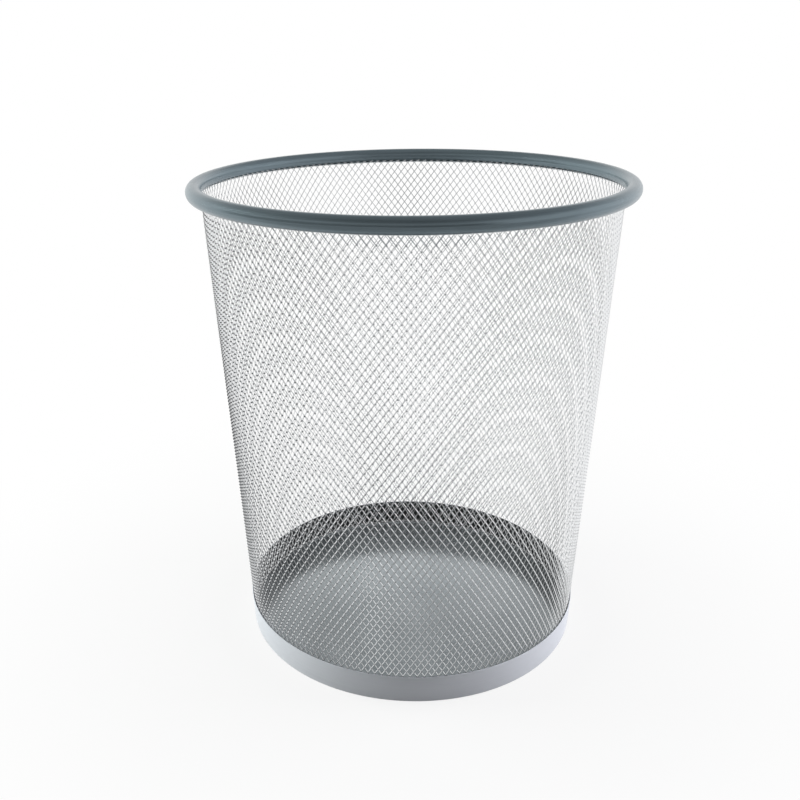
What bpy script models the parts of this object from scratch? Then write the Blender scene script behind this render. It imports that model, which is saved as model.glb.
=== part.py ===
"""A round, tapered waste basket of diamond steel mesh, as the four pieces it is assembled from.

rim_tube     steel tube bent to a ring and slit along its inner side
mesh_wall    tapered wall of diamond mesh with a flat edge at its top and its foot
base_band    sheet-steel band round the foot, its lower edge turned in to a ledge
floor_plate  sheet-steel disc that lies on the ledge

Metres, +Z up. The origin is the centre of the footprint, on the ground.
"""

import math

import bmesh
import bpy
from mathutils import Vector

# Overall sizes
OVERALL_HEIGHT = 0.330
TOP_DIAMETER = 0.300  # over the rim tube
BASE_DIAMETER = 0.2415  # over the band, where the line of its side meets the ground

# Rim tube
RIM_TUBE_DIAMETER = 0.0105
RIM_TUBE_WALL = 0.0008
RIM_SLIT_ANGLE = math.radians(45)  # how far below level the slit faces, on the inner side
RIM_SECTION_STEP = math.radians(30)  # between the corners of the tube's section
RIM_LAST_STEP = math.radians(8)  # the least that is left between the last two corners

# Mesh wall
MESH_SHEET = 0.0008  # thickness of the sheet that the strands are slit from, and of its uncut edges
STRAND_WIDTH = 0.0040  # across a strand, along the wall
TOP_EDGE_GRIP = 0.0025  # how far the top edge reaches into the tube
TOP_EDGE_REACH = 0.0022  # from its bend to the outside of the tube
TOP_EDGE_HEIGHT = 0.0025  # from the top row of crossings to the bend
FOOT_EDGE_HEIGHT = 0.0035  # from the wall's foot to the lowest row of crossings
DIAMONDS_AROUND = 36
DIAMONDS_UP = 9

# Base band and floor plate
BAND_HEIGHT = 0.0205
BAND_SHEET = 0.0006
BAND_BEND_RADIUS = 0.0015  # of the middle of the sheet, where the lower edge turns in
BAND_BEND_STEPS = 4
FLOOR_SHEET = 0.0008
FLOOR_LEDGE = 0.0040  # how far the ledge reaches in under the floor plate

# Between pieces that touch on the real thing
CLEARANCE = 0.0003

# Flat sides of each ring. Two to a diamond puts every crossing of strands on a corner.
RING_SIDES = 2 * DIAMONDS_AROUND
SMOOTH_UP_TO = math.radians(40)


def from_angle(angle, length=1.0):
    """The arrow of this length and angle in a section, with x outwards and y up."""
    return Vector((math.cos(angle), math.sin(angle))) * length


# Places in the section, as (radius, height), that several pieces share
RIM_RADIUS = RIM_TUBE_DIAMETER / 2
RIM_CENTRE = Vector((TOP_DIAMETER / 2 - RIM_RADIUS, OVERALL_HEIGHT - RIM_RADIUS))
SLIT_HEADING = math.pi + RIM_SLIT_ANGLE  # from the tube's centre out through the slit
WALL_TOP = RIM_CENTRE + from_angle(SLIT_HEADING, RIM_RADIUS + TOP_EDGE_REACH)
LEDGE_LEVEL = BAND_SHEET + CLEARANCE  # what lies on the ledge starts here
BEND_TOP = BAND_SHEET / 2 + BAND_BEND_RADIUS  # the band's straight side and the wall's foot start here
WALL_TO_BAND = MESH_SHEET / 2 + CLEARANCE + BAND_SHEET  # middle of the wall to outside of the band
WALL_FOOT_RADIUS = BASE_DIAMETER / 2 - WALL_TO_BAND
WALL_SLOPE = (WALL_TOP.x - WALL_FOOT_RADIUS) / WALL_TOP.y  # outwards per unit of height
WALL_SLANT = math.atan(WALL_SLOPE)
FLOOR_RADIUS = WALL_FOOT_RADIUS - MESH_SHEET / 2 - CLEARANCE


def wall_point(height):
    """The middle of the wall at this height, in the section."""
    return Vector((WALL_FOOT_RADIUS + WALL_SLOPE * height, height))


def clear_scene():
    """Removes every object of the scene."""
    for obj in list(bpy.data.objects):
        bpy.data.objects.remove(obj)


def metal(name, colour, metallic, roughness):
    """A Principled material of this linear colour."""
    material = bpy.data.materials.new(name)
    material.use_nodes = True
    shader = material.node_tree.nodes["Principled BSDF"]
    shader.inputs["Base Color"].default_value = (*colour, 1)
    shader.inputs["Metallic"].default_value = metallic
    shader.inputs["Roughness"].default_value = roughness
    return material


def add_object(name, bm, material):
    """Makes the bmesh an object of the scene, with round sides shaded smooth."""
    mesh = bpy.data.meshes.new(name)
    bm.to_mesh(mesh)
    bm.free()
    mesh.shade_smooth()
    mesh.set_sharp_from_angle(angle=SMOOTH_UP_TO)
    mesh.materials.append(material)
    obj = bpy.data.objects.new(name, mesh)
    bpy.context.scene.collection.objects.link(obj)
    return obj


def strip_sides(line, thickness):
    """The left and the right side of a strip of sheet whose middle follows the points of the line."""
    left = []
    right = []
    for i, point in enumerate(line):
        leaving = line[i + 1] - point if i + 1 < len(line) else point - line[i - 1]
        arriving = point - line[i - 1] if i else leaving
        along = (arriving.normalized() + leaving.normalized()).normalized()
        mitre = along.dot(leaving.normalized())
        across = Vector((-along.y, along.x)) * thickness / 2 / mitre
        left.append(point + across)
        right.append(point - across)
    return left, right


def revolved(outline):
    """The bmesh of a closed outline turned once round the axis."""
    bm = bmesh.new()
    corners = [bm.verts.new((point.x, 0, point.y)) for point in outline]
    for i, corner in enumerate(corners):
        bm.edges.new((corners[i - 1], corner))
    bmesh.ops.spin(
        bm,
        geom=bm.verts[:] + bm.edges[:],
        cent=(0, 0, 0),
        axis=(0, 0, 1),
        angle=math.tau,
        steps=RING_SIDES,
        use_merge=True,
    )
    bmesh.ops.recalc_face_normals(bm, faces=bm.faces)
    return bm


def rim_section():
    """The tube's outline: an open ring whose gap clears the mesh's flat edge on both sides."""
    half_slit = math.asin((MESH_SHEET / 2 + CLEARANCE) / (RIM_RADIUS - RIM_TUBE_WALL))
    first = SLIT_HEADING + half_slit
    last = SLIT_HEADING - half_slit + math.tau
    angles = [first]
    whole_step = math.floor(first / RIM_SECTION_STEP) + 1
    while whole_step * RIM_SECTION_STEP < last - RIM_LAST_STEP:
        angles.append(whole_step * RIM_SECTION_STEP)
        whole_step += 1
    angles.append(last)
    outside = [RIM_CENTRE + from_angle(angle, RIM_RADIUS) for angle in angles]
    inside = [RIM_CENTRE + from_angle(angle, RIM_RADIUS - RIM_TUBE_WALL) for angle in angles]
    return outside + inside[::-1]


def band_section():
    """The band's outline, from its upper edge down the taper, round the bend and in along the ledge."""
    to_middle = WALL_TO_BAND - BAND_SHEET / 2
    side_at_bend = wall_point(BEND_TOP).x + to_middle / math.cos(WALL_SLANT)
    bend_centre = Vector((side_at_bend - BAND_BEND_RADIUS / math.cos(WALL_SLANT), BEND_TOP))
    line = [wall_point(BAND_HEIGHT) + Vector((to_middle, 0))]
    for step in range(BAND_BEND_STEPS + 1):
        heading = -WALL_SLANT - (math.pi / 2 - WALL_SLANT) * step / BAND_BEND_STEPS
        line.append(bend_centre + from_angle(heading, BAND_BEND_RADIUS))
    line.append(Vector((FLOOR_RADIUS - FLOOR_LEDGE, BAND_SHEET / 2)))
    left, right = strip_sides(line, BAND_SHEET)
    return left + right[::-1]


def crossings(bm, place, shift):
    """Corners round the axis at this section point, one to a diamond, turned by this share of a diamond."""
    corners = []
    for column in range(DIAMONDS_AROUND):
        spot = from_angle(math.tau * (column + shift) / DIAMONDS_AROUND, place.x)
        corners.append(bm.verts.new((spot.x, spot.y, place.y)))
    return corners


def diamond_skin(foot, top):
    """A tapered skin of diamonds from one section point up to the other, straight along both ends."""
    bm = bmesh.new()
    last = 2 * DIAMONDS_UP
    rows = [crossings(bm, foot.lerp(top, row / last), row % 2 / 2) for row in range(last + 1)]
    for column in range(DIAMONDS_AROUND):
        after = (column + 1) % DIAMONDS_AROUND
        for row in range(1, last):
            left, right = (column - 1, column) if row % 2 else (column, after)
            low, high = rows[row - 1][column], rows[row + 1][column]
            bm.faces.new((low, rows[row][right], high, rows[row][left]))
        bm.faces.new((rows[0][column], rows[0][after], rows[1][column]))
        bm.faces.new((rows[-2][column], rows[-1][after], rows[-1][column]))
    bm.normal_update()
    return bm


def open_edges(bm, up):
    """The edges with a single face, round the wall's top (up = 1) or round its foot (up = -1)."""
    half_way = OVERALL_HEIGHT / 2
    return [edge for edge in bm.edges if edge.is_boundary and (edge.verts[0].co.z - half_way) * up > 0]


def grow_flat_edge(bm, up, inner_line, outer_line):
    """Extrudes both faces of the wall past its last crossings, and closes the strip between them.

    The lines hold the section points of the strip's inner and outer side, nearest first.
    """
    bmesh.ops.subdivide_edges(bm, edges=open_edges(bm, up), cuts=1)
    for inner, outer in zip(inner_line, outer_line):
        grown = bmesh.ops.extrude_edge_only(bm, edges=open_edges(bm, up))["geom"]
        corners = [item for item in grown if isinstance(item, bmesh.types.BMVert)]
        middle = sum(corner.co.xy.length for corner in corners) / len(corners)
        for corner in corners:
            place = outer if corner.co.xy.length > middle else inner
            spot = corner.co.xy.normalized() * place.x
            corner.co = (spot.x, spot.y, place.y)
    bmesh.ops.bridge_loops(bm, edges=open_edges(bm, up))


def flatten_strands(bm):
    """Presses the strands, as deep as they are wide, to the thickness of the sheet."""
    pressed = 1 - MESH_SHEET / STRAND_WIDTH
    for corner in bm.verts:
        away = (corner.co.xy.length - wall_point(corner.co.z).x) * math.cos(WALL_SLANT)
        level = corner.co.xy.normalized() * math.cos(WALL_SLANT)
        corner.co -= Vector((level.x, level.y, -math.sin(WALL_SLANT))) * away * pressed


def wall_lattice():
    """Strands along every edge of the skin, and the flat edges that the rim and the foot hold."""
    foot_row = wall_point(BEND_TOP + FOOT_EDGE_HEIGHT)
    top_row = wall_point(WALL_TOP.y - TOP_EDGE_HEIGHT)
    bm = diamond_skin(foot_row, top_row)
    bmesh.ops.wireframe(bm, faces=bm.faces[:], thickness=STRAND_WIDTH, use_replace=True, use_even_offset=True)
    flatten_strands(bm)
    foot_inner, foot_outer = strip_sides([wall_point(BEND_TOP), foot_row], MESH_SHEET)
    grow_flat_edge(bm, -1, foot_inner[:1], foot_outer[:1])
    in_tube = RIM_CENTRE + from_angle(SLIT_HEADING, RIM_RADIUS - TOP_EDGE_GRIP)
    top_inner, top_outer = strip_sides([top_row, WALL_TOP, in_tube], MESH_SHEET)
    grow_flat_edge(bm, 1, top_inner[1:], top_outer[1:])
    bmesh.ops.recalc_face_normals(bm, faces=bm.faces)
    return bm


def make_rim_tube():
    """The slit tube that rims the mouth."""
    paint = metal("rim_paint", (0.125, 0.16, 0.18), 0.0, 0.35)
    return add_object("rim_tube", revolved(rim_section()), paint)


def make_mesh_wall():
    """The lattice of strands with its two flat edges."""
    silver = metal("mesh_silver", (0.60, 0.62, 0.63), 0.6, 0.4)
    return add_object("mesh_wall", wall_lattice(), silver)


def make_base_band():
    """The band round the foot, with the ledge that carries the wall and the floor plate."""
    silver = metal("band_silver", (0.52, 0.54, 0.57), 0.4, 0.45)
    return add_object("base_band", revolved(band_section()), silver)


def make_floor_plate():
    """The disc that closes the bottom."""
    grey = metal("floor_grey", (0.32, 0.34, 0.36), 0.4, 0.5)
    bm = bmesh.new()
    bmesh.ops.create_circle(bm, cap_ends=True, radius=FLOOR_RADIUS, segments=RING_SIDES)
    bmesh.ops.translate(bm, verts=bm.verts, vec=(0, 0, LEDGE_LEVEL))
    raised = bmesh.ops.extrude_face_region(bm, geom=bm.faces[:], use_keep_orig=True)["geom"]
    raised_corners = [item for item in raised if isinstance(item, bmesh.types.BMVert)]
    bmesh.ops.translate(bm, verts=raised_corners, vec=(0, 0, FLOOR_SHEET))
    bmesh.ops.recalc_face_normals(bm, faces=bm.faces)
    return add_object("floor_plate", bm, grey)


def main():
    """Builds the basket in an empty scene."""
    clear_scene()
    make_rim_tube()
    make_mesh_wall()
    make_base_band()
    make_floor_plate()


main()
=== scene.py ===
"""Dresses the waste basket: rolled rim tube, fine diamond mesh, base band and floor plate.

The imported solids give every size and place. The mesh wall is made again here at its true pitch, because
the solid that carries its mass is a coarser lattice of the same shape. Metres, +Z up.
"""

from __future__ import annotations

import logging
import math
from dataclasses import dataclass, field
from enum import Enum

import bmesh
import bpy
from mathutils import Euler, Matrix, Vector

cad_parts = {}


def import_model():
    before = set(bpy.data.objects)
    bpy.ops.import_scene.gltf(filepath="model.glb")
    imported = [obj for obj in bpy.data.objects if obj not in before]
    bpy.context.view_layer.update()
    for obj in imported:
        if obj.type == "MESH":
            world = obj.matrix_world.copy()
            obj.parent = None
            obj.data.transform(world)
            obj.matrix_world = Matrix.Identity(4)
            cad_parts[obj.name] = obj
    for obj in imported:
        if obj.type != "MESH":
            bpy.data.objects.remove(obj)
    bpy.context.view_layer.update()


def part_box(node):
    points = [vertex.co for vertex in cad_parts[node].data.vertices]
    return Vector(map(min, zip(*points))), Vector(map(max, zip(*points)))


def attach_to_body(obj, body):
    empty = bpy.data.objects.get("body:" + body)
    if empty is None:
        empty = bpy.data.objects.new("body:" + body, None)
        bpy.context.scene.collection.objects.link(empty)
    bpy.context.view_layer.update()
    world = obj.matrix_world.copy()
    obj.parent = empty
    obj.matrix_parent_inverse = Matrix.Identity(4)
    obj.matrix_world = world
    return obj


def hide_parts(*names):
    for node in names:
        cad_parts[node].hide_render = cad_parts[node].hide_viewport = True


LOG = logging.getLogger("basket")

BODY = "root"
IMAGE_SIDE = 800  # pixels of the square photograph
SHARP_FROM = math.radians(50)  # edges of the smooth pieces that turn more stay sharp


class Solid(Enum):
    """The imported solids, by node name."""

    RIM = "rim_tube"
    WALL = "mesh_wall"
    BAND = "base_band"
    FLOOR = "floor_plate"


class Slot(Enum):
    """The record's material slots."""

    RIM = "rim_paint"
    WALL = "mesh_silver"
    BAND = "band_silver"
    FLOOR = "floor_grey"


class WallHalf(Enum):
    """The two pieces that the fine mesh is made in."""

    LOWER = "mesh_lower"
    UPPER = "mesh_upper"


def from_angle(angle: float, length: float) -> Vector:
    """The arrow of this length and angle in the section, x outwards and y up."""
    return Vector((math.cos(angle), math.sin(angle))) * length


@dataclass(frozen=True)
class Section:
    """Places in the basket's section, as (radius, height), that several sub-assemblies share."""

    rim_centre: Vector
    rim_radius: float
    slit_heading: float
    wall_foot: Vector
    wall_top: Vector
    band_side_low: float
    band_top: Vector
    floor_radius: float
    floor_low: float
    floor_top: float

    @staticmethod
    def from_solids() -> Section:
        """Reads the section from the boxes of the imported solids.

        Returns:
            The shared places, in metres.
        """
        clearance = 0.0003
        solid_sheet = 0.0008
        top_edge_reach = 0.0022
        bend_outside = 0.0018
        slit_angle = math.radians(45)
        rim_low, rim_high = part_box(Solid.RIM.value)
        band_low, band_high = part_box(Solid.BAND.value)
        floor_low, floor_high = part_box(Solid.FLOOR.value)
        rim_radius = (rim_high[2] - rim_low[2]) / 2
        rim_centre = Vector((rim_high[0] - rim_radius, rim_high[2] - rim_radius))
        slit_heading = math.pi + slit_angle
        wall_top = rim_centre + from_angle(slit_heading, rim_radius + top_edge_reach)
        wall_foot = Vector((floor_high[0] + clearance + solid_sheet / 2, 0.0))
        return Section(
            rim_centre=rim_centre,
            rim_radius=rim_radius,
            slit_heading=slit_heading,
            wall_foot=wall_foot,
            wall_top=wall_top,
            band_side_low=bend_outside,
            band_top=Vector((band_high[0], band_high[2])),
            floor_radius=floor_high[0],
            floor_low=floor_low[2],
            floor_top=floor_high[2],
        )

    def wall_radius(self, height: float) -> float:
        """The radius of the middle of the wall at this height."""
        share = height / self.wall_top.y
        return self.wall_foot.x + (self.wall_top.x - self.wall_foot.x) * share

    def wall_slant(self) -> float:
        """The angle by which the wall leans out from upright."""
        return math.atan2(self.wall_top.x - self.wall_foot.x, self.wall_top.y - self.wall_foot.y)


class NodeBoard:
    """A small helper that adds and joins nodes in one tree."""

    def __init__(self, tree: bpy.types.NodeTree) -> None:
        """Keeps the tree that the nodes go to.

        Args:
            tree: A material's or a group's node tree.
        """
        self.tree = tree

    def add(self, kind: str, **settings: object) -> bpy.types.Node:
        """Adds a node.

        Args:
            kind: The node's type name.
            settings: Attributes of the node to set.

        Returns:
            The new node.
        """
        node = self.tree.nodes.new(kind)
        for name, value in settings.items():
            setattr(node, name, value)
        return node

    def join(self, start: bpy.types.NodeSocket, end: bpy.types.NodeSocket) -> None:
        """Links two sockets."""
        self.tree.links.new(start, end)

    def maths(self, operation: str, first: object, second: object = None) -> bpy.types.NodeSocket:
        """Adds a Math node.

        Args:
            operation: The node's operation.
            first: A socket or a number.
            second: A socket or a number, where the operation takes two.

        Returns:
            The node's output.
        """
        node = self.add("ShaderNodeMath", operation=operation)
        for socket, value in zip(node.inputs, (first, second)):
            if isinstance(value, bpy.types.NodeSocket):
                self.join(value, socket)
            elif value is not None:
                socket.default_value = value
        return node.outputs[0]

    def sharpen(self, value: bpy.types.NodeSocket, contrast: bpy.types.NodeSocket) -> bpy.types.NodeSocket:
        """Spreads a noise that lies about one half, and clips it from 0 to 1.

        Args:
            value: The noise.
            contrast: By how much it is spread.

        Returns:
            The mask.
        """
        centred = self.maths("SUBTRACT", value, 0.5)
        stretched = self.maths("MULTIPLY", centred, contrast)
        shifted = self.add("ShaderNodeMath", operation="ADD", use_clamp=True)
        self.join(stretched, shifted.inputs[0])
        shifted.inputs[1].default_value = 0.5
        return shifted.outputs[0]

    def ramp(
        self, value: bpy.types.NodeSocket, over: tuple[float, float], results: tuple[float, object]
    ) -> bpy.types.NodeSocket:
        """Maps a value to a result that changes smoothly from the first to the second.

        Args:
            value: The socket to map.
            over: Where the change starts and ends.
            results: The result before the change, a number, and after it, a number or a socket.

        Returns:
            The mapped value.
        """
        node = self.add("ShaderNodeMapRange", interpolation_type="SMOOTHSTEP")
        self.join(value, node.inputs["Value"])
        node.inputs["From Min"].default_value, node.inputs["From Max"].default_value = over
        node.inputs["To Min"].default_value = results[0]
        if isinstance(results[1], bpy.types.NodeSocket):
            self.join(results[1], node.inputs["To Max"])
        else:
            node.inputs["To Max"].default_value = results[1]
        return node.outputs["Result"]


class Effects:
    """Shader node groups that several finishes share, each built once."""

    def __init__(self) -> None:
        """Builds the groups."""
        self.mottle = self._build_mottle()
        self.streaks = self._build_streaks()
        self.grain = self._build_grain()

    @staticmethod
    def _group(name: str, inputs: dict[str, float], output: str, kind: str) -> tuple:
        """Starts a group that reads object coordinates.

        Args:
            name: The group's name.
            inputs: Number inputs and their defaults.
            output: The name of its one output.
            kind: The output's socket type.

        Returns:
            The tree, its board, its input node and its output node.
        """
        tree = bpy.data.node_groups.new(name, "ShaderNodeTree")
        for label, default in inputs.items():
            socket = tree.interface.new_socket(label, in_out="INPUT", socket_type="NodeSocketFloat")
            socket.default_value = default
        tree.interface.new_socket(output, in_out="OUTPUT", socket_type=kind)
        board = NodeBoard(tree)
        return tree, board, board.add("NodeGroupInput"), board.add("NodeGroupOutput")

    def _build_mottle(self) -> bpy.types.NodeTree:
        """Soft cloudy patches, as a mask from 0 to 1."""
        tree, board, given, result = self._group(
            "cloudy_patches", {"Scale": 20.0, "Contrast": 2.0}, "Mask", "NodeSocketFloat"
        )
        place = board.add("ShaderNodeTexCoord")
        noise = board.add("ShaderNodeTexNoise")
        noise.inputs["Detail"].default_value = 3.0
        board.join(place.outputs["Object"], noise.inputs["Vector"])
        board.join(given.outputs["Scale"], noise.inputs["Scale"])
        board.join(board.sharpen(noise.outputs["Fac"], given.outputs["Contrast"]), result.inputs["Mask"])
        return tree

    def _build_streaks(self) -> bpy.types.NodeTree:
        """Fine lines that run round the basket, as drawing and rolling leave them, as a mask.

        The noise changes fast with the radius and the height and slowly along the ring, so it has no seam.
        """
        tree, board, given, result = self._group(
            "drawn_lines", {"Across": 1500.0, "Along": 14.0, "Contrast": 2.0}, "Mask", "NodeSocketFloat"
        )
        place = board.add("ShaderNodeTexCoord")
        parts = board.add("ShaderNodeSeparateXYZ")
        board.join(place.outputs["Object"], parts.inputs[0])
        flat = board.add("ShaderNodeCombineXYZ")
        board.join(parts.outputs["X"], flat.inputs["X"])
        board.join(parts.outputs["Y"], flat.inputs["Y"])
        reach = board.add("ShaderNodeVectorMath", operation="LENGTH")
        board.join(flat.outputs[0], reach.inputs[0])
        slow = board.add("ShaderNodeCombineXYZ")
        board.join(board.maths("MULTIPLY", parts.outputs["X"], given.outputs["Along"]), slow.inputs["X"])
        board.join(board.maths("MULTIPLY", parts.outputs["Y"], given.outputs["Along"]), slow.inputs["Y"])
        board.join(board.maths("MULTIPLY", parts.outputs["Z"], given.outputs["Across"]), slow.inputs["Z"])
        noise = board.add("ShaderNodeTexNoise", noise_dimensions="4D")
        noise.inputs["Scale"].default_value = 1.0
        noise.inputs["Detail"].default_value = 2.0
        board.join(slow.outputs[0], noise.inputs["Vector"])
        out = board.maths("MULTIPLY", reach.outputs["Value"], given.outputs["Across"])
        board.join(out, noise.inputs["W"])
        board.join(board.sharpen(noise.outputs["Fac"], given.outputs["Contrast"]), result.inputs["Mask"])
        return tree

    def _build_grain(self) -> bpy.types.NodeTree:
        """The fine orange peel of sprayed and baked paint, as a normal."""
        tree, board, given, result = self._group(
            "paint_grain", {"Scale": 900.0, "Strength": 0.2}, "Normal", "NodeSocketVector"
        )
        place = board.add("ShaderNodeTexCoord")
        noise = board.add("ShaderNodeTexNoise")
        noise.inputs["Detail"].default_value = 2.0
        board.join(place.outputs["Object"], noise.inputs["Vector"])
        board.join(given.outputs["Scale"], noise.inputs["Scale"])
        bump = board.add("ShaderNodeBump")
        bump.inputs["Distance"].default_value = 0.0001
        board.join(given.outputs["Strength"], bump.inputs["Strength"])
        board.join(noise.outputs["Fac"], bump.inputs["Height"])
        board.join(bump.outputs["Normal"], result.inputs["Normal"])
        return tree


@dataclass(frozen=True)
class MetalFinish:
    """A coated or bare steel surface, with linear colours."""

    name: str
    dark: tuple[float, float, float]
    light: tuple[float, float, float]
    metallic: float
    smoothest: float
    roughest: float
    patch_scale: float = 20.0
    patch_contrast: float = 2.0
    line_share: float = 0.5
    grain_scale: float = 900.0
    grain_strength: float = 0.2

    def material(self, effects: Effects) -> bpy.types.Material:
        """Builds the material.

        Args:
            effects: The shared node groups.

        Returns:
            The finished material.
        """
        material = bpy.data.materials.new(self.name)
        material.use_nodes = True
        board = NodeBoard(material.node_tree)
        shader = material.node_tree.nodes["Principled BSDF"]
        shader.inputs["Metallic"].default_value = self.metallic
        patches = board.add("ShaderNodeGroup", node_tree=effects.mottle)
        patches.inputs["Scale"].default_value = self.patch_scale
        patches.inputs["Contrast"].default_value = self.patch_contrast
        lines = board.add("ShaderNodeGroup", node_tree=effects.streaks)
        blend = board.add("ShaderNodeMix", data_type="FLOAT")
        blend.inputs["Factor"].default_value = self.line_share
        board.join(patches.outputs["Mask"], blend.inputs["A"])
        board.join(lines.outputs["Mask"], blend.inputs["B"])
        tint = board.add("ShaderNodeMix", data_type="RGBA")
        board.join(blend.outputs["Result"], tint.inputs["Factor"])
        tint.inputs["A"].default_value = (*self.dark, 1.0)
        tint.inputs["B"].default_value = (*self.light, 1.0)
        board.join(tint.outputs["Result"], shader.inputs["Base Color"])
        gloss = board.ramp(patches.outputs["Mask"], (0.0, 1.0), (self.smoothest, self.roughest))
        board.join(gloss, shader.inputs["Roughness"])
        grain = board.add("ShaderNodeGroup", node_tree=effects.grain)
        grain.inputs["Scale"].default_value = self.grain_scale
        grain.inputs["Strength"].default_value = self.grain_strength
        board.join(grain.outputs["Normal"], shader.inputs["Normal"])
        return material


@dataclass(frozen=True)
class Palette:
    """Every finish on the basket."""

    rim: MetalFinish = MetalFinish(
        name="rim_satin_paint",
        dark=(0.110, 0.148, 0.168),
        light=(0.190, 0.243, 0.272),
        metallic=0.60,
        smoothest=0.20,
        roughest=0.28,
        patch_scale=26.0,
        patch_contrast=1.2,
        line_share=0.6,
    )
    wall: MetalFinish = MetalFinish(
        name="mesh_silver_coat",
        dark=(0.84, 0.85, 0.86),
        light=(0.92, 0.93, 0.94),
        metallic=1.0,
        smoothest=0.09,
        roughest=0.16,
        patch_scale=140.0,
        line_share=0.15,
        grain_scale=2500.0,
    )
    # Dark colour on one face of each knuckle: painted shade, for the dots of shade at the crossings.
    knuckle: MetalFinish = MetalFinish(
        name="mesh_knuckle_painted_shade",
        dark=(0.20, 0.21, 0.22),
        light=(0.28, 0.29, 0.30),
        metallic=1.0,
        smoothest=0.10,
        roughest=0.18,
    )
    band: MetalFinish = MetalFinish(
        name="band_silver_coat",
        dark=(0.50, 0.52, 0.56),
        light=(0.57, 0.59, 0.63),
        metallic=0.15,
        smoothest=0.40,
        roughest=0.52,
        patch_scale=30.0,
        line_share=0.4,
    )
    # Near-black colour on the band's inner face: painted shade, for the shade inside the band and in the gap
    # behind the mesh.
    band_inside_shade: MetalFinish = MetalFinish(
        name="band_inside_painted_shade",
        dark=(0.012, 0.014, 0.015),
        light=(0.022, 0.024, 0.026),
        metallic=0.0,
        smoothest=0.55,
        roughest=0.70,
    )
    floor: MetalFinish = MetalFinish(
        name="floor_grey_coat",
        dark=(0.405, 0.445, 0.462),
        light=(0.505, 0.545, 0.562),
        metallic=0.8,
        smoothest=0.16,
        roughest=0.24,
        patch_scale=24.0,
        line_share=0.0,
    )


def add_piece(name: str, bm: bmesh.types.BMesh, materials: list[bpy.types.Material]) -> bpy.types.Object:
    """Makes the bmesh a piece at the origin.

    Args:
        name: The piece's name.
        bm: Its shape, which is freed.
        materials: Its materials, in the order of the faces' indices.

    Returns:
        The new object.
    """
    mesh = bpy.data.meshes.new(name)
    bm.to_mesh(mesh)
    bm.free()
    for material in materials:
        mesh.materials.append(material)
    piece = bpy.data.objects.new(name, mesh)
    bpy.context.scene.collection.objects.link(piece)
    LOG.info("%s: %d faces", name, len(mesh.polygons))
    return piece


def attach(piece: bpy.types.Object, solid: Solid) -> None:
    """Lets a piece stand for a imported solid, on the basket's one body.

    Args:
        piece: The finished piece.
        solid: The solid that it replaces.
    """
    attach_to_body(piece, BODY)
    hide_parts(solid.value)


def spin_ring(bm: bmesh.types.BMesh, steps: int) -> None:
    """Turns everything in the bmesh once round the axis.

    Args:
        bm: Holds the edges of a section, in the plane of X and Z.
        steps: The sides of the ring.
    """
    bmesh.ops.spin(
        bm,
        geom=bm.verts[:] + bm.edges[:],
        cent=(0, 0, 0),
        axis=(0, 0, 1),
        angle=math.tau,
        steps=steps,
        use_merge=True,
    )


def draw_line(bm: bmesh.types.BMesh, points: list[Vector], closed: bool) -> list[bmesh.types.BMVert]:
    """Adds a chain of edges through points of the section.

    Args:
        bm: The bmesh to draw in.
        points: Places as (radius, height).
        closed: Whether an edge joins the last point to the first.

    Returns:
        The new vertices, in order.
    """
    corners = [bm.verts.new((point.x, 0, point.y)) for point in points]
    for start, end in zip(corners, corners[1:]):
        bm.edges.new((start, end))
    if closed:
        bm.edges.new((corners[-1], corners[0]))
    return corners


@dataclass
class RimTube:
    """The rolled steel tube round the mouth, open along a slit on its inner side."""

    section: Section
    sheet: float = 0.0008
    slit_half_width: float = 0.0007
    arc_steps: int = 28
    ring_steps: int = 216

    def outline(self) -> list[Vector]:
        """The tube's section, outside and inside, with the slit open."""
        half_slit = math.asin(self.slit_half_width / (self.section.rim_radius - self.sheet))
        first = self.section.slit_heading + half_slit
        sweep = math.tau - 2 * half_slit
        headings = [first + sweep * step / self.arc_steps for step in range(self.arc_steps + 1)]
        centre = self.section.rim_centre
        outside = [centre + from_angle(heading, self.section.rim_radius) for heading in headings]
        inside = [centre + from_angle(heading, self.section.rim_radius - self.sheet) for heading in headings]
        return outside + inside[::-1]

    def build(self, paint: bpy.types.Material) -> bpy.types.Object:
        """Makes the tube.

        Args:
            paint: The rim's finish.

        Returns:
            The finished piece.
        """
        bm = bmesh.new()
        draw_line(bm, self.outline(), closed=True)
        spin_ring(bm, self.ring_steps)
        bmesh.ops.recalc_face_normals(bm, faces=bm.faces)
        piece = add_piece("rim_ring", bm, [paint])
        piece.data.shade_smooth()
        piece.data.set_sharp_from_angle(angle=SHARP_FROM)
        attach(piece, Solid.RIM)
        return piece


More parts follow.
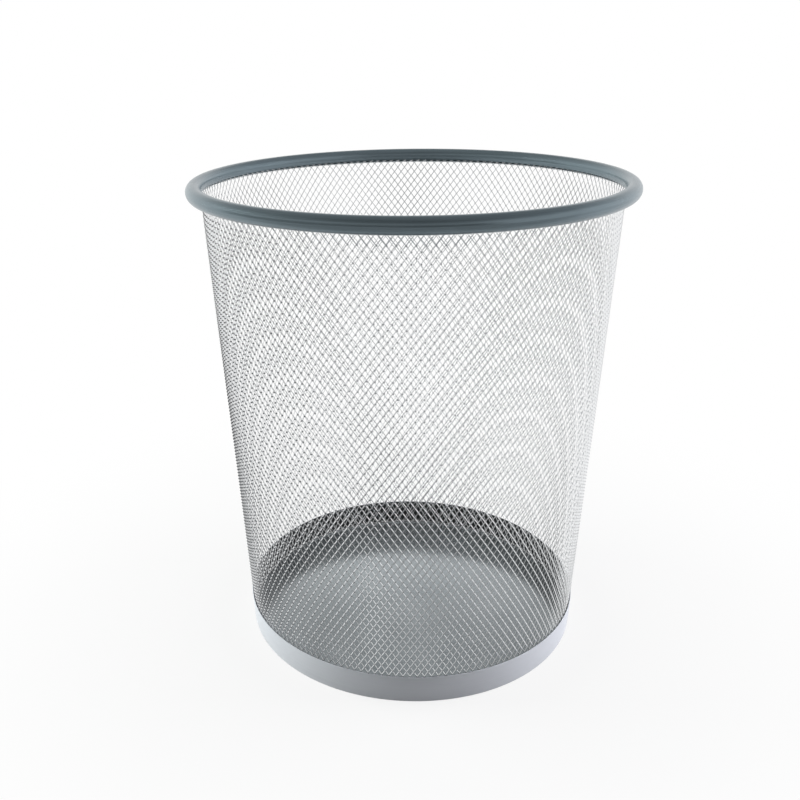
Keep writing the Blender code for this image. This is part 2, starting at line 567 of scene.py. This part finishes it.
@dataclass(frozen=True)
class Knuckle:
    """The sheet where strands meet: a small wedge that stretching turns aside, with one flat face in a dark
    finish, painted shade.
    """

    width: float = 0.0011
    height: float = 0.0009
    thickness: float = 0.0004
    turned: float = math.radians(50)  # the face's heading, from straight out of the wall
    tilted: float = math.radians(12)  # how far it looks up
    out: float = 0.00012  # its middle, from the middle of the crossing
    aside: float = 0.00025

    def add_row(self, bm: bmesh.types.BMesh, radius: float, height: float, turn: float, copies: int) -> None:
        """Adds one row of knuckles round the wall.

        Args:
            bm: The mesh that they go to.
            radius: The middle of the wall here.
            height: The height of their crossings.
            turn: The heading of the first one.
            copies: How many there are.
        """
        ring = bmesh.new()
        place = Matrix.Translation((radius + self.out, self.aside, height))
        heading = Matrix.Rotation(self.turned, 4, "Z") @ Matrix.Rotation(-math.pi / 2 - self.tilted, 4, "Y")
        size = Matrix.Diagonal((self.height, self.width, 1, 1))
        bmesh.ops.create_cone(
            ring,
            cap_ends=True,
            segments=4,
            radius1=math.sqrt(0.5),
            radius2=0,
            depth=self.thickness,
            matrix=place @ heading @ size @ Matrix.Rotation(math.pi / 4, 4, "Z"),
        )
        for face in ring.faces:
            # The flat face gets the dark finish, painted shade; the other faces get the silver.
            face.material_index = 1 if len(face.verts) == 4 else 0
        bmesh.ops.rotate(ring, verts=ring.verts, cent=(0, 0, 0), matrix=Matrix.Rotation(turn, 3, "Z"))
        bmesh.ops.spin(
            ring,
            geom=ring.verts[:] + ring.edges[:] + ring.faces[:],
            cent=(0, 0, 0),
            axis=(0, 0, 1),
            angle=math.tau * (copies - 1) / copies,
            steps=copies - 1,
            use_duplicate=True,
        )
        row = bpy.data.meshes.new("knuckle_row")
        ring.to_mesh(row)
        ring.free()
        bm.from_mesh(row)
        bpy.data.meshes.remove(row)


@dataclass
class MeshWall:
    """The tapered wall of expanded steel mesh, at its true pitch."""

    section: Section
    diamonds_around: int = 162
    strand_length: float = 0.00443
    strand_width: float = 0.0006
    sheet: float = 0.00055
    knuckle: Knuckle = Knuckle()
    foot_edge: float = 0.0002  # the uncut edge below the lowest crossings
    grip: float = 0.0025  # how far the top edge reaches into the tube
    grip_edge: float = 0.0005  # the uncut part of it, past the last crossings
    heights: list[float] = field(default_factory=list)

    def __post_init__(self) -> None:
        """Works out the heights of the crossings, each diamond as tall as its strands allow."""
        low = self.section.band_side_low + self.foot_edge
        high = self.section.wall_top.y
        heights = [low]
        while heights[-1] < high:
            width = math.tau * self.section.wall_radius(heights[-1]) / self.diamonds_around
            rise = 2 * math.sqrt(self.strand_length**2 - (width / 2) ** 2)
            heights.append(heights[-1] + rise * math.cos(self.section.wall_slant()))
        fit = (high - low) / (heights[-1] - low)
        self.heights = [low + (height - low) * fit for height in heights]

    def cut_height(self) -> float:
        """The height between the centres of two rows of diamonds, half way up."""
        middle = len(self.heights) // 2
        between_rows = 0.75
        return self.heights[middle] + between_rows * (self.heights[middle + 1] - self.heights[middle])

    def in_tube(self, short_by: float) -> Vector:
        """A place in the rim tube, this much short of how far the wall's edge reaches in."""
        reach = self.section.rim_radius - self.grip + short_by
        return self.section.rim_centre + from_angle(self.section.slit_heading, reach)

    def skin(self) -> bmesh.types.BMesh:
        """A thin cone of diamonds: one grid cell to a diamond, its edges turned to faces.

        Returns:
            The open skin, straight along both ends.
        """
        bm = bmesh.new()
        column = [Vector((self.section.wall_radius(height), height)) for height in self.heights]
        draw_line(bm, column + [self.in_tube(self.grip_edge)], closed=False)
        spin_ring(bm, self.diamonds_around)
        bmesh.ops.recalc_face_normals(bm, faces=bm.faces)
        grid_lines = bm.edges[:]
        bmesh.ops.poke(bm, faces=bm.faces[:])
        inner_lines = [line for line in grid_lines if not line.is_boundary]
        bmesh.ops.dissolve_edges(bm, edges=inner_lines, use_verts=False)
        bm.normal_update()
        return bm

    def half_skin(self, half: WallHalf) -> bmesh.types.BMesh:
        """The skin's diamonds below or above the middle row, with a zigzag edge between the halves.

        Args:
            half: The half that is kept.

        Returns:
            The half skin.
        """
        bm = self.skin()
        cut = self.cut_height()
        side = 1 if half is WallHalf.UPPER else -1
        gone = [face for face in bm.faces if (face.calc_center_median().z - cut) * side < 0]
        bmesh.ops.delete(bm, geom=gone, context="FACES")
        return bm

    def flatten_strands(self, bm: bmesh.types.BMesh) -> None:
        """Presses the strands, as deep as they are wide, to the thickness of the sheet."""
        pressed = 1 - self.sheet / self.strand_width
        lean = self.section.wall_slant()
        for corner in bm.verts:
            place = Vector((corner.co.xy.length, corner.co.z))
            past_bend = corner.co.z > self.section.wall_top.y + self.sheet
            across = from_angle(self.section.slit_heading + math.pi / 2 if past_bend else -lean, 1.0)
            place -= across * (place - self.section.wall_top).dot(across) * pressed
            corner.co.xy *= place.x / corner.co.xy.length
            corner.co.z = place.y

    def add_knuckles(self, bm: bmesh.types.BMesh, half: WallHalf) -> None:
        """Adds the knuckles that show, between the band and the rim.

        Args:
            bm: The half wall.
            half: Which half it is.
        """
        lowest = self.section.band_top.y + self.knuckle.height
        highest = self.section.wall_top.y - self.section.rim_radius
        cut = self.cut_height()
        halfway = [(low + high) / 2 for low, high in zip(self.heights, self.heights[1:])]
        step = math.tau / self.diamonds_around
        for heights, turn in ((self.heights, 0.0), (halfway, step / 2)):
            for height in heights:
                if lowest < height < highest and (height > cut) == (half is WallHalf.UPPER):
                    radius = self.section.wall_radius(height)
                    self.knuckle.add_row(bm, radius, height, turn, self.diamonds_around)

    def grow_edge(self, bm: bmesh.types.BMesh, half: WallHalf) -> None:
        """Extrudes the open ring past the last crossings to the uncut edge, and closes it.

        Args:
            bm: The half wall.
            half: Which half it is.
        """
        low = self.section.band_side_low
        foot = Vector((self.section.wall_radius(low), low))
        upper = half is WallHalf.UPPER
        place = self.in_tube(0.0) if upper else foot
        end_height = self.in_tube(self.grip_edge).y if upper else self.heights[0]
        ring = [e for e in bm.edges if e.is_boundary and abs(e.verts[0].co.z - end_height) < self.sheet]
        grown = bmesh.ops.extrude_edge_only(bm, edges=ring)["geom"]
        ring = [item for item in grown if isinstance(item, bmesh.types.BMEdge)]
        corners = [item for item in grown if isinstance(item, bmesh.types.BMVert)]
        middle = sum(corner.co.xy.length for corner in corners) / len(corners)
        for corner in corners:
            outwards = 1 if corner.co.xy.length > middle else -1
            wanted = place.x + outwards * self.sheet / 2
            corner.co.xy *= wanted / corner.co.xy.length
            corner.co.z = place.y
        bmesh.ops.bridge_loops(bm, edges=ring)

    def build_half(
        self, half: WallHalf, silver: bpy.types.Material, knuckle_shade: bpy.types.Material
    ) -> bpy.types.Object:
        """Makes one half of the wall.

        Args:
            half: Which half.
            silver: The mesh's finish.
            knuckle_shade: The dark finish on one face of each knuckle, painted shade.

        Returns:
            The finished piece.
        """
        bm = self.half_skin(half)
        bmesh.ops.wireframe(
            bm, faces=bm.faces[:], thickness=self.strand_width, use_replace=True, use_even_offset=True
        )
        self.flatten_strands(bm)
        self.grow_edge(bm, half)
        bmesh.ops.bridge_loops(bm, edges=[edge for edge in bm.edges if edge.is_boundary])
        self.add_knuckles(bm, half)
        bmesh.ops.recalc_face_normals(bm, faces=bm.faces)
        piece = add_piece(half.value, bm, [silver, knuckle_shade])
        attach(piece, Solid.WALL)
        return piece


@dataclass
class BaseBand:
    """The sheet-steel band round the foot, its lower edge turned in to a ledge."""

    section: Section
    sheet: float = 0.0006
    bend_radius: float = 0.0015
    ledge: float = 0.0040
    edge_round: float = 0.00018
    round_from: float = math.radians(60)
    bend_steps: int = 6
    ring_steps: int = 216

    def outline(self) -> list[Vector]:
        """The band's section: the outside from the top down, and the inside back up."""
        slant = self.section.wall_slant()
        top = self.section.band_top
        lean = Vector((math.sin(slant), math.cos(slant)))
        outer_bend = self.bend_radius + self.sheet / 2
        inner_bend = self.bend_radius - self.sheet / 2
        to_centre = outer_bend / math.cos(slant)
        side_at_bend = top.x - (top.y - outer_bend) * math.tan(slant)
        centre = Vector((side_at_bend - to_centre, outer_bend))
        turn = math.pi / 2 - slant
        headings = [-slant - turn * step / self.bend_steps for step in range(self.bend_steps + 1)]
        inner_reach = self.section.floor_radius - self.ledge
        outside = [top] + [centre + from_angle(heading, outer_bend) for heading in headings]
        inside = [centre + from_angle(heading, inner_bend) for heading in headings[::-1]]
        inner_top = top - Vector((self.sheet / lean.y, 0))
        return outside + [Vector((inner_reach, 0)), Vector((inner_reach, self.sheet))] + inside + [inner_top]

    def build(self, silver: bpy.types.Material, inside: bpy.types.Material) -> bpy.types.Object:
        """Makes the band, with its inner face in a near-black finish: painted shade inside the band.

        Args:
            silver: The finish outside.
            inside: The near-black finish on the inner face, painted shade.

        Returns:
            The finished piece.
        """
        bm = bmesh.new()
        draw_line(bm, self.outline(), closed=True)
        spin_ring(bm, self.ring_steps)
        bmesh.ops.recalc_face_normals(bm, faces=bm.faces)
        # Faces that look inwards get the near-black finish: painted shade.
        for face in bm.faces:
            centre = face.calc_center_median()
            if face.normal.xy.dot(centre.xy.normalized()) < -0.5:
                face.material_index = 1
        rims = [e for e in bm.edges if e.calc_face_angle(0.0) > self.round_from]
        bmesh.ops.bevel(
            bm, geom=rims, offset=self.edge_round, segments=2, profile=0.5, affect="EDGES", material=-1
        )
        piece = add_piece("band_ring", bm, [silver, inside])
        piece.data.shade_smooth()
        piece.data.set_sharp_from_angle(angle=SHARP_FROM)
        attach(piece, Solid.BAND)
        return piece


@dataclass
class FloorPlate:
    """The round plate that closes the bottom."""

    section: Section
    edge_round: float = 0.00025
    sides: int = 216

    def build(self, grey: bpy.types.Material) -> bpy.types.Object:
        """Makes the plate.

        Args:
            grey: The plate's finish.

        Returns:
            The finished piece.
        """
        bm = bmesh.new()
        thickness = self.section.floor_top - self.section.floor_low
        middle = Vector((0, 0, (self.section.floor_top + self.section.floor_low) / 2))
        bmesh.ops.create_cone(
            bm,
            cap_ends=True,
            segments=self.sides,
            radius1=self.section.floor_radius,
            radius2=self.section.floor_radius,
            depth=thickness,
        )
        bmesh.ops.translate(bm, verts=bm.verts, vec=middle)
        rims = [edge for edge in bm.edges if abs(edge.verts[0].co.z - edge.verts[1].co.z) < thickness / 2]
        bmesh.ops.bevel(
            bm, geom=rims, offset=self.edge_round, segments=2, profile=0.5, affect="EDGES", material=-1
        )
        piece = add_piece("floor_disc", bm, [grey])
        piece.data.shade_smooth()
        piece.data.set_sharp_from_angle(angle=SHARP_FROM)
        attach(piece, Solid.FLOOR)
        return piece


@dataclass(frozen=True)
class Softbox:
    """A square studio lamp that faces the basket, and that metal mirrors only as the white room behind it."""

    name: str
    place: tuple[float, float, float]
    side: float
    power: float
    colour: tuple[float, float, float]

    def build(self, target: Vector) -> None:
        """Hangs the lamp.

        Args:
            target: The point that it faces.
        """
        lamp = bpy.data.lights.new(self.name, "AREA")
        lamp.shape = "SQUARE"
        lamp.size = self.side
        lamp.energy = self.power
        lamp.color = self.colour
        holder = bpy.data.objects.new(self.name, lamp)
        holder.visible_glossy = False
        holder.location = self.place
        holder.rotation_euler = (Vector(self.place) - target).to_track_quat("Z", "Y").to_euler()
        bpy.context.scene.collection.objects.link(holder)


@dataclass(frozen=True)
class WhiteRoom:
    """The surroundings: white, dimmer overhead and at the front, where the room beyond the lamps is."""

    fill: float = 0.06
    overhead: float = 0.35
    overhead_from: float = 0.25
    overhead_to: float = 0.75
    front_low: float = 0.25
    front_high: float = 0.74
    front_rise_from: float = 0.08
    front_rise_to: float = 0.27
    front_heading: float = math.radians(-30)
    front_from: float = 0.22
    front_to: float = 0.46

    def ahead(self) -> tuple[float, float, float]:
        """The direction of the room's dim front."""
        return math.sin(self.front_heading), -math.cos(self.front_heading), 0.0

    def build(self) -> None:
        """White where it is seen directly, shaded where metal mirrors it, and a low fill on matt surfaces."""
        world = bpy.data.worlds.new("white_room")
        world.use_nodes = True
        board = NodeBoard(world.node_tree)
        background = world.node_tree.nodes["Background"]
        background.inputs["Color"].default_value = (1, 1, 1, 1)
        heading = board.add("ShaderNodeTexCoord")
        parts = board.add("ShaderNodeSeparateXYZ")
        board.join(heading.outputs["Generated"], parts.inputs[0])
        height = parts.outputs["Z"]
        above = board.ramp(height, (self.overhead_from, self.overhead_to), (1.0, self.overhead))
        ahead = board.add("ShaderNodeVectorMath", operation="DOT_PRODUCT")
        board.join(heading.outputs["Generated"], ahead.inputs[0])
        ahead.inputs[1].default_value = self.ahead()
        rise_over = (self.front_rise_from, self.front_rise_to)
        rise = board.ramp(height, rise_over, (self.front_low, self.front_high))
        front = board.ramp(ahead.outputs["Value"], (self.front_from, self.front_to), (1.0, rise))
        rays = board.add("ShaderNodeLightPath")
        mirrored = board.maths("MAXIMUM", rays.outputs["Is Glossy Ray"], rays.outputs["Is Transmission Ray"])
        in_metal = board.maths("MULTIPLY", board.maths("MULTIPLY", above, front), mirrored)
        seen = board.maths("MAXIMUM", in_metal, rays.outputs["Is Camera Ray"])
        board.join(board.maths("MAXIMUM", seen, self.fill), background.inputs["Strength"])
        bpy.context.scene.world = world


@dataclass
class Studio:
    """The pale floor, the white room and the lamps."""

    floor_radius: float = 2.0
    plain_from: float = 0.11
    plain_to: float = 0.45
    least_plain: float = 0.86
    front_near: float = 0.10
    front_far: float = 0.26
    front_shade: float = 0.60
    floor_colour: tuple[float, float, float] = (0.50, 0.50, 0.50)
    room: WhiteRoom = WhiteRoom()
    aim: tuple[float, float, float] = (0.0, 0.0, 0.15)
    left: Softbox = Softbox("left_softbox", (-1.50, 0.26, 0.75), 1.0, 50.0, (0.97, 1.0, 0.97))
    right: Softbox = Softbox("right_softbox", (1.50, 0.26, 0.75), 1.0, 48.0, (0.97, 0.965, 1.0))

    def build_floor(self) -> None:
        """A pale disc that takes the shadow near the basket and melts into white further out."""
        bm = bmesh.new()
        bmesh.ops.create_circle(bm, cap_ends=True, radius=self.floor_radius, segments=96)
        mesh = bpy.data.meshes.new("ground")
        bm.to_mesh(mesh)
        bm.free()
        ground = bpy.data.objects.new("ground", mesh)
        bpy.context.scene.collection.objects.link(ground)
        mesh.materials.append(self._floor_material())

    def _floor_material(self) -> bpy.types.Material:
        """Matt and pale, mixed with plain white by the distance from the basket on rays that see it."""
        material = bpy.data.materials.new("pale_floor")
        material.use_nodes = True
        board = NodeBoard(material.node_tree)
        shader = material.node_tree.nodes["Principled BSDF"]
        shader.inputs["Base Color"].default_value = (*self.floor_colour, 1)
        shader.inputs["Roughness"].default_value = 0.9
        shader.inputs["Specular IOR Level"].default_value = 0.0
        white = board.add("ShaderNodeEmission")
        place = board.add("ShaderNodeTexCoord")
        parts = board.add("ShaderNodeSeparateXYZ")
        board.join(place.outputs["Object"], parts.inputs[0])
        ahead = board.maths("MULTIPLY", parts.outputs["Y"], -1.0)
        shade = board.ramp(ahead, (self.front_near, self.front_far), (1.0, self.front_shade))
        reach = board.add("ShaderNodeVectorMath", operation="LENGTH")
        board.join(place.outputs["Object"], reach.inputs[0])
        away = board.ramp(reach.outputs["Value"], (self.plain_from, self.plain_to), (self.least_plain, 1.0))
        rays = board.add("ShaderNodeLightPath")
        seen = board.maths("MAXIMUM", rays.outputs["Is Camera Ray"], rays.outputs["Is Glossy Ray"])
        seen = board.maths("MAXIMUM", seen, rays.outputs["Is Transmission Ray"])
        board.join(board.maths("MAXIMUM", shade, rays.outputs["Is Camera Ray"]), white.inputs["Strength"])
        share = board.maths("MULTIPLY", away, seen)
        mix = board.add("ShaderNodeMixShader")
        board.join(share, mix.inputs["Fac"])
        board.join(shader.outputs[0], mix.inputs[1])
        board.join(white.outputs[0], mix.inputs[2])
        board.join(mix.outputs[0], material.node_tree.nodes["Material Output"].inputs["Surface"])
        return material

    def build(self) -> None:
        """Makes the room, the floor and the lamps."""
        self.room.build()
        self.build_floor()
        for lamp in (self.left, self.right):
            lamp.build(Vector(self.aim))


@dataclass(frozen=True)
class PhotoCamera:
    """The camera that took the photograph, found from the basket's ellipses and sides in it."""

    place: tuple[float, float, float] = (0.0, -0.6373, 0.4236)
    turn: tuple[float, float, float] = (70.980, 0.912, 2.986)
    focal_pixels: float = 942.2
    axis_left: float = 40.66
    axis_up: float = 46.98
    sensor: float = 36.0

    def build(self) -> None:
        """Makes the camera and lets the scene use it."""
        data = bpy.data.cameras.new("photo_camera")
        data.sensor_fit = "HORIZONTAL"
        data.sensor_width = self.sensor
        data.lens = self.focal_pixels / IMAGE_SIDE * self.sensor
        data.shift_x = self.axis_left / IMAGE_SIDE
        data.shift_y = -self.axis_up / IMAGE_SIDE
        data.clip_start = 0.01
        camera = bpy.data.objects.new("photo_camera", data)
        camera.location = self.place
        camera.rotation_euler = Euler([math.radians(angle) for angle in self.turn], "XYZ")
        bpy.context.scene.collection.objects.link(camera)
        bpy.context.scene.camera = camera


def main() -> None:
    """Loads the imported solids, dresses them, and lights the scene."""
    logging.basicConfig(level=logging.INFO, format="%(message)s")
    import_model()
    section = Section.from_solids()
    effects = Effects()
    palette = Palette()
    silver = palette.wall.material(effects)
    # The knuckles' dark finish is painted shade.
    knuckle_shade = palette.knuckle.material(effects)
    RimTube(section).build(palette.rim.material(effects))
    wall = MeshWall(section)
    for half in WallHalf:
        wall.build_half(half, silver, knuckle_shade)
    BaseBand(section).build(palette.band.material(effects), palette.band_inside_shade.material(effects))
    FloorPlate(section).build(palette.floor.material(effects))
    Studio().build()
    PhotoCamera().build()
    bpy.context.scene.view_settings.view_transform = "Standard"


if __name__ == "__main__":
    main()
